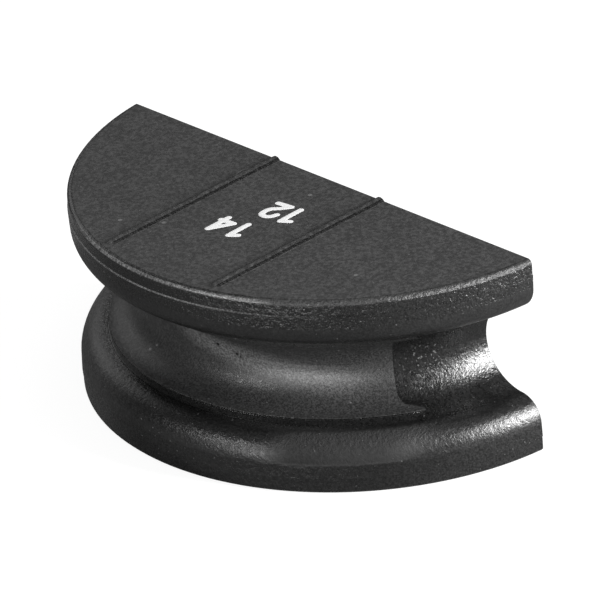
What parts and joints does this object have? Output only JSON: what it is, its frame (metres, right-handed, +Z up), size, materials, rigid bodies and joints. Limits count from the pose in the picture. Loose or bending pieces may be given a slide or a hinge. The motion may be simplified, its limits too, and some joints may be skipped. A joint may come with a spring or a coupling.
{
  "type": "pipe bending former",
  "caption": "D-shaped moulded plastic former with a half-round pipe groove round its curved side, raised beads on its top face and a blind ram socket in its flat back.",
  "frame": {"origin": "centre of the bounding box at its underside, so that the former rests on its plain end face at z = 0", "axes": "+X along the flat back's width, +Y out of the flat back and of the ram socket's mouth, so that the curved side with the pipe groove faces -Y, +Z up, parallel to the bend axis, towards the face with the raised beads"},
  "size_m": [0.0994, 0.045, 0.0382],
  "materials": {
    "filled_plastic": "charcoal black glass-filled plastic, finely grained and satin"
  },
  "bodies": {
    "root": {"bending_former": "filled_plastic"}
  },
  "joints": []
}
